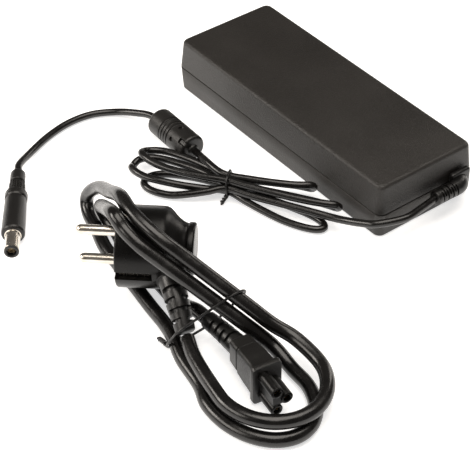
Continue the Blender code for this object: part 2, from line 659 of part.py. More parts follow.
def mains_route():
    """The mains lead's route, in millimetres: twice round the right, over the plug, down on the left and back."""
    route = [(88.6, -149.5, 10.8), (100, -154, 10.4), *bend(*UPPER_BEND, -110, 80, 9), (119, -113, 12.5)]
    route += straight((109, -118, 16.5), (62, -142.5, 46), 6)
    route += [(52, -145, 49.5), (41, -145, 51), *straight((28, -141.5, 49), (-8, -129.5, 25), 3)]
    route += [(-18.5, -128.5, 15.5), (-22, -129, 8.5), (-17, -131.5, 4.2), (-6, -134.5, 3.5)]
    route += straight((8, -139, 3.5), (56, -146, 3.5), 4)
    route += [(69, -148, 4.4), (80.5, -151, 5.3), (92, -155, 4.4), *bend(*LOWER_BEND, -130, 95, 10)]
    route += [(114, -120, 6.5), (107, -123, 11), *straight((101, -127.5, 16.5), (57, -151, 44), 6)]
    route += [(48, -153, 48.5), (39, -152.5, 51.4), (21, -144.5, 38.6), (0, -134.5, 21.5)]
    route += [(-7, -130, 13), (-6, -128, 6.2), (2, -128.5, 3.5), *straight((14, -131.5, 3.5), (58, -134.6, 3.6), 4)]
    return route + [(68.5, -134.9, 7), (76, -135, 10.2), (83.3, -135, 10.8)]


def turn_of(a, b, c):
    """Above zero where the way from a through b to c turns left."""
    return (b[0] - a[0]) * (c[1] - a[1]) - (b[1] - a[1]) * (c[0] - a[0])


def hull(flat):
    """The outermost of some flat points, in order round them."""
    flat = sorted(set(flat))
    ring = []
    for points in (flat, flat[::-1]):
        side = []
        for point in points:
            while len(side) > 1 and turn_of(side[-2], side[-1], point) <= 0:
                side.pop()
            side.append(point)
        ring += side[:-1]
    return ring


def wrapped(strands, centre, normal, reach, count):
    """The tight loop a tie makes, across normal, round every strand near its centre: (points, radius) pairs."""
    centre, normal = np.array(centre), np.array(normal) / np.linalg.norm(normal)
    across = np.cross(normal, (0, 0, 1))
    across /= np.linalg.norm(across)
    up = np.cross(across, normal)
    flat = []
    for points, radius in strands:
        points = np.array(points)
        for point, heading in zip(points, np.gradient(points, axis=0)):
            if np.linalg.norm(point - centre) > reach:
                continue
            side = np.cross(heading, (0, 0, 1))
            side /= np.linalg.norm(side)
            top = np.cross(side, heading / np.linalg.norm(heading))
            for angle in np.linspace(0, 2 * math.pi, 24, endpoint=False):
                skin = point + radius * (side * math.cos(angle) + top * math.sin(angle)) - centre
                if abs(skin @ normal) < TIE_WIRE:
                    flat.append((float(skin @ across), float(skin @ up)))
    loop = hull(flat)
    loop = np.array([*loop, loop[0]])
    travelled = np.r_[0, np.cumsum(np.linalg.norm(np.diff(loop, axis=0), axis=1))]
    goals = np.linspace(0, travelled[-1], count + 1)[:-1]
    even = np.stack([np.interp(goals, travelled, loop[:, axis]) for axis in range(2)], axis=1)
    return [Vector(centre + a * across + b * up) for a, b in even]


def mains_lead():
    rubber = ((0.01, 0.01, 0.01), 0.3)
    tube("mains_cord", smooth_route(mains_route(), 2.4 * MAINS_CORD), MAINS_CORD / 2, rubber)
    clear = TIE_WIRE / 2 + 2.5 * GAP
    relief = [point for point in smooth_route(PLUG_RELIEF, 0.5 * MM) if point.x > 80 * MM]
    connector_end = smooth_route([(84.2, -135, 10.8), (104, -135, 10.8)], 0.5 * MM)
    strands = [
        (smooth_route(mains_route(), 1 * MM), MAINS_CORD / 2 + clear), (relief, 4.9 * MM + clear),
        (connector_end, 4.5 * MM + clear),
    ]
    ring = wrapped(strands, MAINS_TIE_CENTRE, MAINS_TIE_AHEAD, TIE_REACH, 24)
    for point in ring:
        point.z = max(point.z, TIE_WIRE / 2 + 0.1 * MM)
    tube("mains_cord_tie", ring, TIE_WIRE / 2, ((0.01, 0.01, 0.01), 0.4), cyclic=True)


def main():
    clear_scene()
    make_collections()
    top_cover()
    bottom_cover()
    rating_label()
    inlet()
    circuit_board()
    board_parts()
    dc_boot()
    dc_cords()
    ferrite()
    dc_plug()
    mains_plug()
    connector()
    mains_lead()


main()
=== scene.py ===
"""Looks for the laptop power adapter: a charcoal brick, its low-voltage lead and a loose mains lead."""

import math

import bmesh
import bpy
import numpy as np
from mathutils import Matrix, Vector


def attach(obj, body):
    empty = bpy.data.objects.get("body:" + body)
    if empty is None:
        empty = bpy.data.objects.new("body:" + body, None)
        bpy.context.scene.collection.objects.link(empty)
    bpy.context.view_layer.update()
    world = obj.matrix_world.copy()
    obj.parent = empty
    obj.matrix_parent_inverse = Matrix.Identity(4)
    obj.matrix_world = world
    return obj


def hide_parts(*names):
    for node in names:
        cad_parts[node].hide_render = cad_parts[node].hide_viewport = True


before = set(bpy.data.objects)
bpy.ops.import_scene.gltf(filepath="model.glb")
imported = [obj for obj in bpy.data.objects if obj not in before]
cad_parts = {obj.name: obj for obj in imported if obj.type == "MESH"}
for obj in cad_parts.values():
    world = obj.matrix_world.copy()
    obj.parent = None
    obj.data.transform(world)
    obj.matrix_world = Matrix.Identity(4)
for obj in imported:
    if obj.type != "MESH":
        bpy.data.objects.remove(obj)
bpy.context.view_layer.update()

MM = 0.001

# ---------------------------------------------------------------------------- camera
CAMERA_PLACE = (0.52086, -0.45349, 0.52188)
CAMERA_AXES = ((0.61122, 0.79145, -0.00400), (-0.50867, 0.39670, 0.76412), (0.60635, -0.46501, 0.64506))
LENS_MM = 126.77


def make_camera():
    data = bpy.data.cameras.new("camera")
    data.lens = LENS_MM
    data.sensor_width = 36.0
    data.clip_start = 0.01
    data.clip_end = 20.0
    camera = bpy.data.objects.new("camera", data)
    turn = Matrix(CAMERA_AXES).transposed().to_4x4()
    camera.matrix_world = Matrix.Translation(CAMERA_PLACE) @ turn
    bpy.context.scene.collection.objects.link(camera)
    bpy.context.scene.camera = camera


make_camera()


# ---------------------------------------------------------------------------- node materials
class Nodes:
    """A short way to write a material's node tree."""

    def __init__(self, name):
        self.material = bpy.data.materials.new(name)
        self.material.use_nodes = True
        self.tree = self.material.node_tree
        self.shader = self.tree.nodes["Principled BSDF"]
        self.place = self.add("ShaderNodeTexCoord").outputs["Object"]

    def add(self, kind, settings=None, inputs=None):
        node = self.tree.nodes.new(kind)
        for name, value in (settings or {}).items():
            setattr(node, name, value)
        for name, value in (inputs or {}).items():
            self.feed(node.inputs[name], value)
        return node

    def feed(self, socket, value):
        if isinstance(value, bpy.types.NodeSocket):
            self.tree.links.new(value, socket)
        else:
            socket.default_value = value

    def noise(self, scale, detail=3.0, rough=0.55, place=None):
        node = self.add(
            "ShaderNodeTexNoise", None,
            {"Vector": place or self.place, "Scale": scale, "Detail": detail, "Roughness": rough},
        )
        return node.outputs["Fac"]

    def stretched(self, scale):
        return self.add("ShaderNodeMapping", None, {"Vector": self.place, "Scale": scale}).outputs["Vector"]

    def spots(self, scale, place=None):
        node = self.add("ShaderNodeTexVoronoi", None, {"Vector": place or self.place, "Scale": scale})
        return node.outputs["Distance"]

    def spread(self, value, low, high, out_low=0.0, out_high=1.0):
        node = self.add(
            "ShaderNodeMapRange", None,
            {"Value": value, "From Min": low, "From Max": high, "To Min": out_low, "To Max": out_high},
        )
        return node.outputs["Result"]

    def maths(self, operation, first, second):
        return self.add("ShaderNodeMath", {"operation": operation}, {0: first, 1: second}).outputs["Value"]

    def mix(self, factor, first, second):
        node = self.add("ShaderNodeMix", {"data_type": "RGBA"})
        self.feed(node.inputs["Factor"], factor)
        for socket, colour in ((node.inputs[6], first), (node.inputs[7], second)):
            self.feed(socket, colour if isinstance(colour, bpy.types.NodeSocket) else (*colour, 1.0))
        return node.outputs[2]

    def bump(self, height, strength, distance, before=None):
        inputs = {"Height": height, "Strength": strength, "Distance": distance}
        if before:
            inputs["Normal"] = before
        return self.add("ShaderNodeBump", None, inputs).outputs["Normal"]

    def finish(self, colour, roughness, normal=None, **constants):
        self.feed(self.shader.inputs["Base Color"], colour)
        self.feed(self.shader.inputs["Roughness"], roughness)
        if normal:
            self.feed(self.shader.inputs["Normal"], normal)
        for name, value in constants.items():
            self.shader.inputs[name.replace("_", " ")].default_value = value
        return self.material


def moulded(name, colour, roughness, grain, depth, worn=0.012, specular=0.5):
    """Fine-textured moulded plastic: a pebbled grain, a faint cloudiness and scattered pale scuffs."""
    n = Nodes(name)
    cloud = n.noise(28.0, 4.0)
    fine = n.noise(grain, 2.0, 0.6)
    pits = n.spots(grain * 1.15)
    scuff = n.spread(n.noise(330.0, 5.0, 0.75, n.stretched((1.0, 0.35, 1.0))), 0.63, 0.74)
    darker = tuple(c * 0.86 for c in colour)
    lighter = tuple(c * 1.16 for c in colour)
    base = n.mix(n.spread(cloud, 0.32, 0.68), darker, lighter)
    base = n.mix(n.spread(fine, 0.3, 0.75, 0.0, 0.35), base, tuple(c * 1.5 for c in colour))
    base = n.mix(n.maths("MULTIPLY", scuff, 0.25), base, tuple(c + worn for c in lighter))
    rough = n.spread(cloud, 0.3, 0.7, roughness - 0.05, roughness + 0.06)
    height = n.maths("ADD", n.maths("MULTIPLY", fine, 0.6), pits)
    normal = n.bump(height, 0.55, depth)
    return n.finish(base, rough, normal, Specular_IOR_Level=specular)


def jacket(name, colour, roughness, coat=0.0):
    """Extruded cord jacket: smooth and glossy, with faint handling marks and a slow waviness."""
    n = Nodes(name)
    cloud = n.noise(120.0, 4.0, 0.6)
    dust = n.spread(n.noise(1500.0, 3.0, 0.7), 0.62, 0.8)
    base = n.mix(n.spread(cloud, 0.35, 0.7), colour, tuple(c * 1.7 for c in colour))
    base = n.mix(n.maths("MULTIPLY", dust, 0.35), base, tuple(c + 0.012 for c in colour))
    rough = n.spread(cloud, 0.3, 0.7, roughness - 0.05, roughness + 0.1)
    height = n.maths("ADD", n.noise(260.0, 2.0), n.maths("MULTIPLY", n.noise(2200.0, 2.0), 0.12))
    normal = n.bump(height, 0.35, 0.00022)
    return n.finish(base, rough, normal, Specular_IOR_Level=0.55, Coat_Weight=coat, Coat_Roughness=0.15)


DULL_TINT = (0.84, 0.80, 0.74)


def metal(name, colour, roughness, brushed):
    """Plated metal with fine drawn lines, a few dull patches and a warm tint in places."""
    n = Nodes(name)
    lines = n.noise(900.0, 3.0, 0.6, n.stretched(brushed))
    patch = n.noise(170.0, 4.0)
    dulled = tuple(c * t for c, t in zip(colour, DULL_TINT))
    base = n.mix(n.spread(patch, 0.35, 0.75), colour, dulled)
    rough = n.spread(lines, 0.3, 0.7, roughness, roughness + 0.12)
    return n.finish(base, rough, n.bump(lines, 0.25, 0.00004), Metallic=1.0)


def board_green(name):
    """Solder mask with pale traces and pads."""
    n = Nodes(name)
    cells = n.spots(260.0)
    base = n.mix(n.spread(cells, 0.18, 0.26), (0.32, 0.33, 0.20), (0.02, 0.11, 0.035))
    base = n.mix(n.spread(n.noise(60.0), 0.4, 0.7, 0.0, 0.4), base, (0.03, 0.17, 0.05))
    return n.finish(base, n.spread(cells, 0.1, 0.5, 0.25, 0.5), n.bump(cells, 0.4, 0.0001))


def wound(name, colour, gap):
    """Windings or tape laid in turns: fine parallel ridges along X."""
    n = Nodes(name)
    wave = n.add(
        "ShaderNodeTexWave", {"wave_type": "BANDS", "bands_direction": "X"},
        {"Vector": n.place, "Scale": 1.0 / gap, "Distortion": 0.6, "Detail": 2.0},
    ).outputs["Fac"]
    base = n.mix(wave, tuple(c * 0.6 for c in colour), colour)
    base = n.mix(n.spread(n.noise(90.0), 0.4, 0.7, 0.0, 0.3), base, tuple(min(1.0, c * 1.4) for c in colour))
    return n.finish(base, n.spread(wave, 0.0, 1.0, 0.45, 0.28), n.bump(wave, 0.5, 0.0002))


CASE = moulded("case_charcoal", (0.015, 0.0132, 0.0115), 0.46, 1250.0, 0.00024)
# The lower shell is the same charcoal painted lighter: painted light standing in for its brighter lit sides.
CASE_PAINTED_LIGHTER = moulded("case_charcoal_low_painted_lighter", (0.019, 0.0170, 0.0150), 0.47, 1250.0, 0.00024)
SEAM_DARK = moulded("seam_shadow", (0.010, 0.010, 0.009), 0.6, 2300.0, 0.00005)
SOCKET = moulded("socket_black", (0.016, 0.016, 0.016), 0.42, 2600.0, 0.00006)
PLUG = moulded("plug_satin", (0.0028, 0.0026, 0.0024), 0.28, 1900.0, 0.00006, 0.002, 0.24)
RELIEF = moulded("relief_satin", (0.005, 0.0047, 0.0044), 0.32, 1900.0, 0.00006)
CONNECTOR = moulded("connector_satin", (0.007, 0.0066, 0.006), 0.36, 2300.0, 0.00008)
CONNECTOR_ROUGH = moulded("connector_stipple", (0.005, 0.0047, 0.0044), 0.38, 1250.0, 0.00035)
FERRITE_SKIN = moulded("ferrite_skin", (0.009, 0.0083, 0.0075), 0.38, 2100.0, 0.00010)
DC_PLUG = moulded("dc_plug_skin", (0.008, 0.0075, 0.007), 0.36, 2300.0, 0.00008)
CORD = jacket("cord_gloss", (0.0035, 0.0032, 0.003), 0.22)
THIN_CORD = jacket("thin_cord_gloss", (0.0045, 0.0042, 0.004), 0.22)
WIRE = jacket("tie_gloss", (0.004, 0.004, 0.004), 0.28)
NICKEL = metal("nickel", (0.80, 0.76, 0.70), 0.16, (1.0, 1.0, 9.0))
BRASS = metal("brass_contact", (0.76, 0.62, 0.36), 0.25, (1.0, 1.0, 6.0))
ALUMINIUM = metal("aluminium_sheet", (0.60, 0.60, 0.60), 0.34, (1.0, 8.0, 1.0))
CORE = moulded("ferrite_grey", (0.055, 0.055, 0.058), 0.6, 900.0, 0.00015)
LABEL = moulded("label_film", (0.50, 0.50, 0.48), 0.35, 700.0, 0.00003)
FILM = moulded("insulating_film", (0.55, 0.54, 0.48), 0.4, 500.0, 0.00004)
PACKAGE = moulded("epoxy_package", (0.018, 0.018, 0.018), 0.5, 1500.0, 0.00008)
CERAMIC = moulded("ceramic_body", (0.20, 0.26, 0.34), 0.28, 800.0, 0.00005)
CAN = moulded("capacitor_can", (0.018, 0.024, 0.030), 0.25, 300.0, 0.00003)
TAPE = wound("winding_tape", (0.62, 0.44, 0.06), 0.004)
COPPER = wound("winding_copper", (0.55, 0.22, 0.08), 0.0016)
BOARD = board_green("board_mask")


# ---------------------------------------------------------------------------- shape helpers
def link(obj):
    bpy.context.scene.collection.objects.link(obj)
    return obj


def finished(obj, body, paint, replaced=(), smooth=True):
    """Gives a piece its material, body and the CAD nodes it stands for."""
    if paint:
        obj.data.materials.append(paint)
    if smooth and obj.type == "MESH":
        for face in obj.data.polygons:
            face.use_smooth = True
    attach(obj, body)
    if replaced:
        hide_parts(*replaced)
    return obj


def mesh_from(name, points, faces):
    mesh = bpy.data.meshes.new(name)
    mesh.from_pydata([tuple(p) for p in points], [], faces)
    mesh.update()
    shape = bmesh.new()
    shape.from_mesh(mesh)
    bmesh.ops.recalc_face_normals(shape, faces=shape.faces)
    shape.to_mesh(mesh)
    shape.free()
    return link(bpy.data.objects.new(name, mesh))


def smooth_route(route, spacing):
    """Evenly spaced points, in metres, on the smooth curve through a route in millimetres."""
    route = np.array(route, float) * MM
    ends = np.vstack([route[0] * 2 - route[1], route, route[-1] * 2 - route[-2]])
    fine = []
    for before, start, end, after in zip(ends, ends[1:], ends[2:], ends[3:]):
        for t in np.arange(0, 1, 1 / 12):
            fine.append(
                0.5 * (2 * start + (end - before) * t
                       + (2 * before - 5 * start + 4 * end - after) * t ** 2
                       + (3 * start - 3 * end + after - before) * t ** 3)
            )
    fine = np.array([*fine, route[-1]])
    travelled = np.r_[0, np.cumsum(np.linalg.norm(np.diff(fine, axis=0), axis=1))]
    goals = np.linspace(0, travelled[-1], max(2, round(travelled[-1] / spacing)) + 1)
    return np.stack([np.interp(goals, travelled, fine[:, axis]) for axis in range(3)], axis=1)


def length_of(points):
    return float(np.linalg.norm(np.diff(points, axis=0), axis=1).sum())


def frames_along(points, first_up=(0, 0, 1)):
    """Two directions across each point of a line, carried along it without twisting."""
    tangents = np.gradient(points, axis=0)
    tangents /= np.linalg.norm(tangents, axis=1)[:, None]
    up = np.array(first_up, float)
    ups, sides = [], []
    for tangent in tangents:
        up = up - tangent * np.dot(up, tangent)
        up /= np.linalg.norm(up)
        ups.append(up.copy())
        sides.append(np.cross(tangent, up))
    return np.array(ups), np.array(sides)


def sweep(name, points, radius_at, around=48, first_up=(0, 0, 1), closed=False):
    """A closed skin round a line. radius_at(s, angle) gives its radius s metres along and at an angle."""
    points = np.array(points, float)
    ups, sides = frames_along(points, first_up)
    travelled = np.r_[0, np.cumsum(np.linalg.norm(np.diff(points, axis=0), axis=1))]
    rows = []
    for point, up, side, s in zip(points, ups, sides, travelled):
        for step in range(around):
            angle = 2 * math.pi * step / around
            radius = radius_at(s, angle)
            rows.append(point + (up * math.cos(angle) + side * math.sin(angle)) * radius)
    faces = []
    count = len(points)
    last = count if closed else count - 1
    for row in range(last):
        here, there = row * around, ((row + 1) % count) * around
        for step in range(around):
            beside = (step + 1) % around
            faces.append((here + step, here + beside, there + beside, there + step))
    if not closed:
        faces.append(tuple(range(around))[::-1])
        faces.append(tuple((count - 1) * around + step for step in range(around)))
    return mesh_from(name, rows, faces)


def lathe(name, profile, matrix, around=64):
    """A closed turned shape about Z from (radius, height) points; a radius of zero closes an end."""
    rows, faces, starts = [], [], []
    for radius, height in profile:
        starts.append(len(rows))
        if radius == 0:
            rows.append(matrix @ Vector((0, 0, height)))
            continue
        for step in range(around):
            angle = 2 * math.pi * step / around
            rows.append(matrix @ Vector((radius * math.cos(angle), radius * math.sin(angle), height)))
    for index in range(len(profile) - 1):
        a, b = starts[index], starts[index + 1]
        point_a, point_b = profile[index][0] == 0, profile[index + 1][0] == 0
        for step in range(around):
            beside = (step + 1) % around
            if point_a:
                faces.append((a, b + step, b + beside))
            elif point_b:
                faces.append((a + step, b, a + beside))
            else:
                faces.append((a + step, b + step, b + beside, a + beside))
    return mesh_from(name, rows, faces)


def round_steps(centre, radius, start, end, count=6):
    """(x, y) points round an arc, angles in degrees."""
    return [
        (centre[0] + radius * math.cos(math.radians(a)), centre[1] + radius * math.sin(math.radians(a)))
        for a in np.linspace(start, end, count)
    ]


def rounded_outline(half_x, half_y, corner, steps=8):
    outline = []
    for cx, cy, start in ((1, 1, 0), (-1, 1, 90), (-1, -1, 180), (1, -1, 270)):
        centre = (cx * (half_x - corner), cy * (half_y - corner))
        outline += round_steps(centre, corner, start, start + 90, steps)
    return outline


def stack(name, levels):
    """A closed skin through flat outlines of equal point count: [(outline, z)], bottom to top."""
    rows, faces = [], []
    around = len(levels[0][0])
    for outline, z in levels:
        rows += [(x, y, z) for x, y in outline]
    for row in range(len(levels) - 1):
        for step in range(around):
            beside = (step + 1) % around
            a, b = row * around, (row + 1) * around
            faces.append((a + step, a + beside, b + beside, b + step))
    faces.append(tuple(range(around))[::-1])
    faces.append(tuple((len(levels) - 1) * around + step for step in range(around)))
    return mesh_from(name, rows, faces)


def moved(obj, matrix):
    obj.data.transform(matrix)
    return obj


def cut(obj, *cutters):
    """Cuts shapes out of a piece and keeps only the result."""
    for cutter in cutters:
        modifier = obj.modifiers.new("cut", "BOOLEAN")
        modifier.operation = "DIFFERENCE"
        modifier.solver = "EXACT"
        modifier.object = cutter
    return applied(obj, cutters)


def joined(obj, *others):
    for other in others:
        modifier = obj.modifiers.new("join", "BOOLEAN")
        modifier.operation = "UNION"
        modifier.solver = "EXACT"
        modifier.object = other
    return applied(obj, others)


def applied(obj, helpers=()):
    bpy.context.view_layer.update()
    graph = bpy.context.evaluated_depsgraph_get()
    mesh = bpy.data.meshes.new_from_object(obj.evaluated_get(graph))
    obj.modifiers.clear()
    obj.data = mesh
    for helper in helpers:
        bpy.data.objects.remove(helper, do_unlink=True)
    return obj


def softened(obj, width, segments=3, angle=35):
    """Rounds a piece's sharp edges."""
    bevel = obj.modifiers.new("round", "BEVEL")
    bevel.width = width
    bevel.segments = segments
    bevel.limit_method = "ANGLE"
    bevel.angle_limit = math.radians(angle)
    bevel.harden_normals = False
    return applied(obj)


def even_shading(obj, angle=40):
    """Smooth shading that stays crisp across edges sharper than this."""
    for face in obj.data.polygons:
        face.use_smooth = True
    obj.data.set_sharp_from_angle(angle=math.radians(angle))
    return obj


def box_shape(name, low, high):
    outline = [(low[0], low[1]), (high[0], low[1]), (high[0], high[1]), (low[0], high[1])]
    return stack(name, [(outline, low[2]), (outline, high[2])])


def cord_curve(name, points, radius, paint, sides=5):
    curve = bpy.data.curves.new(name, "CURVE")
    curve.dimensions = "3D"
    curve.bevel_depth = radius
    curve.bevel_resolution = sides
    curve.use_fill_caps = True
    spline = curve.splines.new("POLY")
    spline.points.add(len(points) - 1)
    for target, point in zip(spline.points, points):
        target.co = (*point, 1.0)
    spline.use_smooth = True
    curve.materials.append(paint)
    return link(bpy.data.objects.new(name, curve))


# ---------------------------------------------------------------------------- routes, in millimetres
MAINS_CORD = 6.8 * MM
DC_CORD = 3.8 * MM
TIE_WIRE = 1.2 * MM

# The mains lead's two turns round the right: each bend's centre, radii and height.
UPPER_BEND = ((129, -136), (27, 24), 10.4)
LOWER_BEND = ((128, -141.5), (30, 21.5), 3.5)
PLUG_RELIEF = [(67, -141.6, 23.6), (74, -144.4, 20.6), (80.6, -146.6, 16.2), (86, -148.6, 12.4)]

# The low-voltage lead's two loose stretches.
DC_TO_HANK = [(86.6, -0.3, 14), (88, -10, 14), (88.6, -21, 13.8), (83, -33, 12.8), (76, -37, 10.6)]
HANK_TO_PLUG = [
    (2, -67, 10.9), (-8, -66.8, 10.8), (-18, -64.3, 8.1), (-23, -63.8, 7.5), (-28, -63.7, 7.5),
    (-38.5, -63.4, 7.5), (-49, -63.1, 7.5), (-60, -63.5, 7), (-69, -66.5, 5), (-79, -72.5, 2.6),
    (-86, -84, 2), (-87, -98, 2),
    (-83.5, -113, 2), (-76.5, -128, 2.8), (-69, -138.5, 5.5), (-63.6, -142.4, 6),
]
# The hank's waist, and where each run goes through its tie: steps across it and up it, six round one.
WAIST = (9.4, -66.0, 7.05)
WAIST_YAW = math.radians(39.7)
WAIST_PITCH = 3.85
SLOTS = {
    "E": (1, 0), "W": (-1, 0), "C": (0, 0),
    "SW": (-0.5, -1), "SE": (0.5, -1), "NE": (0.5, 1), "NW": (-0.5, 1),
}
# Each turn of the hank: the slots it leaves and comes back by, its heading in degrees, its reach, half its
# width, and its heights on the way out, at the tip and on the way back.
HANK_TURNS = [
    ("E", "SW", 220, 43, 7.0, (2.6, 2.0, 2.0)),
    ("SW", "SE", 21, 54, 4.5, (2.0, 2.0, 2.0)),
    ("SE", "C", 210, 52, 8.5, (6.2, 3.6, 5.2)),
    ("C", "NE", 33, 57, 2.6, (5.8, 8.0, 10.4)),
    ("NE", "W", 203, 50, 6.5, (9.6, 7.6, 6.0)),
    ("W", "NW", 42, 42, 2.6, (5.8, 8.4, 10.8)),
]
TURN_POINTS = 14
# How far round a turn each of its heights is reached.
TURN_STAGES = (0, 0.2, 0.41, 0.5, 0.59, 0.8, 1)


def bend(centre, radii, height, start, end, count):
    """Points round a level bend seen from above, between two angles in degrees."""
    angles = [math.radians(start + (end - start) * step / (count - 1)) for step in range(count)]
    return [(centre[0] + radii[0] * math.cos(a), centre[1] + radii[1] * math.sin(a), height) for a in angles]


def straight(start, end, count):
    """Evenly spaced points on a straight stretch, both ends included."""
    return [tuple(a + (b - a) * step / (count - 1) for a, b in zip(start, end)) for step in range(count)]


def mains_route():
    """The mains lead's route in millimetres: twice round the right, over the plug, down and back."""
    route = [(88.6, -149.5, 10.8), (100, -154, 10.4), *bend(*UPPER_BEND, -110, 80, 9), (119, -113, 12.5)]
    route += straight((109, -118, 16.5), (62, -142.5, 46), 6)
    route += [(52, -145, 49.5), (41, -145, 51), *straight((28, -141.5, 49), (-8, -129.5, 25), 3)]
    route += [(-18.5, -128.5, 15.5), (-22, -129, 8.5), (-17, -131.5, 4.2), (-6, -134.5, 3.5)]
    route += straight((8, -139, 3.5), (56, -146, 3.5), 4)
    route += [(69, -148, 4.4), (80.5, -151, 5.3), (92, -155, 4.4), *bend(*LOWER_BEND, -130, 95, 10)]
    route += [(114, -120, 6.5), (107, -123, 11), *straight((101, -127.5, 16.5), (57, -151, 44), 6)]
    route += [(48, -153, 48.5), (39, -152.5, 51.4), (21, -144.5, 38.6), (0, -134.5, 21.5)]
    route += [(-7, -130, 13), (-6, -128, 6.2), (2, -128.5, 3.5)]
    route += straight((14, -131.5, 3.5), (58, -134.6, 3.6), 4)
    return route + [(68.5, -134.9, 7), (76, -135, 10.2), (83.3, -135, 10.8)]


def slot(name):
    across, up = SLOTS[name]
    return (
        WAIST[0] + across * WAIST_PITCH * math.sin(WAIST_YAW),
        WAIST[1] - across * WAIST_PITCH * math.cos(WAIST_YAW),
        WAIST[2] + up * WAIST_PITCH * math.sqrt(3) / 2,
    )


def hank_turn(leave, back, heading, reach, half_width, heights):
    """Points round one turn of the hank, a long drop shape from its waist and back."""
    start, end = slot(leave), slot(back)
    heading = math.radians(heading)
    low, tip, high = heights
    points = [start]
    for step in range(1, TURN_POINTS):
        t = step / TURN_POINTS
        out = reach * math.sin(math.pi * t)
        aside = half_width * math.sin(2 * math.pi * t)
        height = np.interp(t, TURN_STAGES, (start[2], low, low, tip, high, high, end[2]))
        x, y = (a + (b - a) * t for a, b in zip(start[:2], end[:2]))
        points.append((
            x + out * math.cos(heading) - aside * math.sin(heading),
            y + out * math.sin(heading) + aside * math.cos(heading), float(height),
        ))
    return points


def dc_route():
    route = [*DC_TO_HANK, *straight((64, -41, 7.2), (24, -62.8, 6.9), 4)]
    for turn in HANK_TURNS:
        route += hank_turn(*turn)
    return [*route, slot("NW"), *HANK_TO_PLUG]


CORD_STEP = 1.2 * MM
mains_points = smooth_route(mains_route(), CORD_STEP)
dc_points = smooth_route(dc_route(), CORD_STEP)
mains_cord = finished(
    cord_curve("mains_cord_run", mains_points, MAINS_CORD / 2, CORD, 8), "mains_lead", None,
    ["mains_cord"],
)
dc_cord = finished(
    cord_curve("dc_cord_run", dc_points, DC_CORD / 2, THIN_CORD, 6), "adapter", None,
    ["dc_cord_to_hank", "dc_cord_hank", "dc_cord_to_plug"],
)


# ---------------------------------------------------------------------------- brick
LENGTH, WIDTH, HEIGHT = 162.0 * MM, 61.0 * MM, 30.0 * MM
SEAM, SEAM_GROOVE = 13.7 * MM, 0.6 * MM
TOP_DRAFT, BOTTOM_DRAFT = 1.4 * MM, 0.8 * MM
CORNER, EDGE_ROUND = 4.0 * MM, 2.2 * MM
TONGUE = 1.0 * MM
INLET_SIZE, INLET_Z = (22.0 * MM, 15.5 * MM), 13.2 * MM
GAP = 0.3 * MM
BOOT_X, BOOT_Y, BOOT_Z = 86.6 * MM, 19.5 * MM, 14.0 * MM


def shell_outline(inset, corner=CORNER):
    return rounded_outline(LENGTH / 2 - inset, WIDTH / 2 - inset, max(corner - inset * 0.4, 0.6 * MM), 9)


def inlet_hole(name):
    low = (-LENGTH / 2 - 5 * MM, -INLET_SIZE[0] / 2 - GAP, INLET_Z - INLET_SIZE[1] / 2 - GAP)
    high = (-LENGTH / 2 + 17 * MM, INLET_SIZE[0] / 2 + GAP, INLET_Z + INLET_SIZE[1] / 2 + GAP)
    return box_shape(name, low, high)


def brick():
    bottom_of_top = SEAM + SEAM_GROOVE / 2
    levels = [(shell_outline(TONGUE + 2 * MM), bottom_of_top), (shell_outline(0.15 * MM), bottom_of_top),
              (shell_outline(0.0), bottom_of_top + 0.15 * MM)]
    edge = HEIGHT - EDGE_ROUND
    draft = TOP_DRAFT * (edge - bottom_of_top) / (HEIGHT - bottom_of_top)
    for share in (0.33, 0.66, 1.0):
        levels.append((shell_outline(draft * share), bottom_of_top + (edge - bottom_of_top) * share))
    for angle in np.linspace(15, 90, 6):
        inset = draft + EDGE_ROUND * (1 - math.cos(math.radians(angle)))
        levels.append((shell_outline(inset), edge + EDGE_ROUND * math.sin(math.radians(angle))))
    top = cut(stack("shell_top", levels), inlet_hole("hole"))
    finished(even_shading(top, 50), "adapter", CASE, ["top_cover"])

    top_of_bottom = SEAM - SEAM_GROOVE / 2
    foot = 0.8 * MM
    levels = []
    for angle in np.linspace(90, 0, 5):
        inset = BOTTOM_DRAFT + foot * (1 - math.cos(math.radians(angle)))
        levels.append((shell_outline(inset), foot * (1 - math.sin(math.radians(angle)))))
    levels += [(shell_outline(BOTTOM_DRAFT * 0.5), top_of_bottom * 0.5),
               (shell_outline(0.0), top_of_bottom - 0.15 * MM), (shell_outline(0.15 * MM), top_of_bottom),
               (shell_outline(TONGUE + 2 * MM), top_of_bottom)]
    recess = box_shape("recess", (-39.3 * MM, -20.3 * MM, -1 * MM), (39.3 * MM, 20.3 * MM, 0.7 * MM))
    bottom = cut(stack("shell_bottom", levels), inlet_hole("hole"), recess)
    # The lower shell's lighter charcoal is painted light, not a different plastic.
    finished(even_shading(bottom, 50), "adapter", CASE_PAINTED_LIGHTER, ["bottom_cover"])

    tongue = stack("seam_tongue", [
        (shell_outline(TONGUE), top_of_bottom - 0.8 * MM), (shell_outline(TONGUE), bottom_of_top + 0.8 * MM),
    ])
    cut(tongue, inlet_hole("hole"))
    finished(even_shading(tongue, 50), "adapter", SEAM_DARK)


brick()


# ---------------------------------------------------------------------------- low-voltage lead's pieces
def ribbed(s, angle, start, pitch, count, slot, depth, radius, bridge=0.34):
    """A strain relief's radius: slots across it, each crossed by two bridges that turn from slot to slot."""
    for index in range(count):
        middle = start + pitch * index
        if abs(s - middle) < slot / 2:
            turned = angle + (math.pi / 2 if index % 2 else 0)
            if abs(math.sin(turned)) > bridge:
                return radius - depth
    return radius


def dense_line(points, step):
    return smooth_route(np.array(points) / MM, step)


